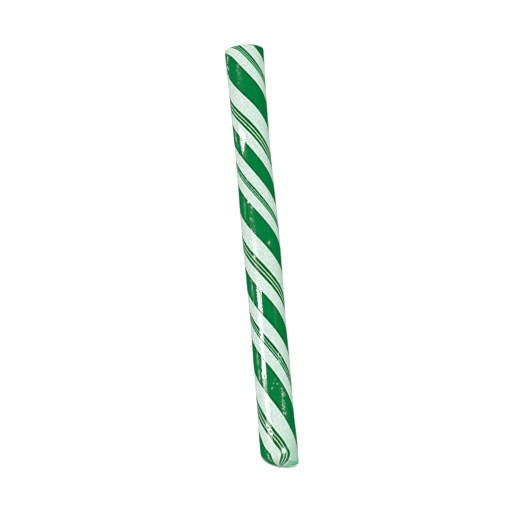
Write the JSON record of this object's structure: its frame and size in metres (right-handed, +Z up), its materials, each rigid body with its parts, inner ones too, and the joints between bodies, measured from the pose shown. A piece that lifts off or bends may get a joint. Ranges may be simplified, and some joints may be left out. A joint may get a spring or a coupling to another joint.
{
  "type": "hard candy stick",
  "caption": "Round pulled-sugar stick with green helical stripes on mint white, wrapped tight in clear film whose twisted ends fold flat.",
  "frame": {"origin": "middle of the stick's length and width, on the surface it rests on", "axes": "+Y along the stick from foot to head, +Z up, +X across the stick"},
  "size_m": [0.0119, 0.1316, 0.0117],
  "materials": {
    "candy": "glossy boiled sugar, mint white with deep green stripes turning round the stick",
    "clear_film": "thin clear glossy wrapping film with fine wrinkles"
  },
  "bodies": {
    "root": {"candy_stick": "candy", "film_tail_head": "clear_film", "film_tail_foot": "clear_film"}
  },
  "joints": []
}
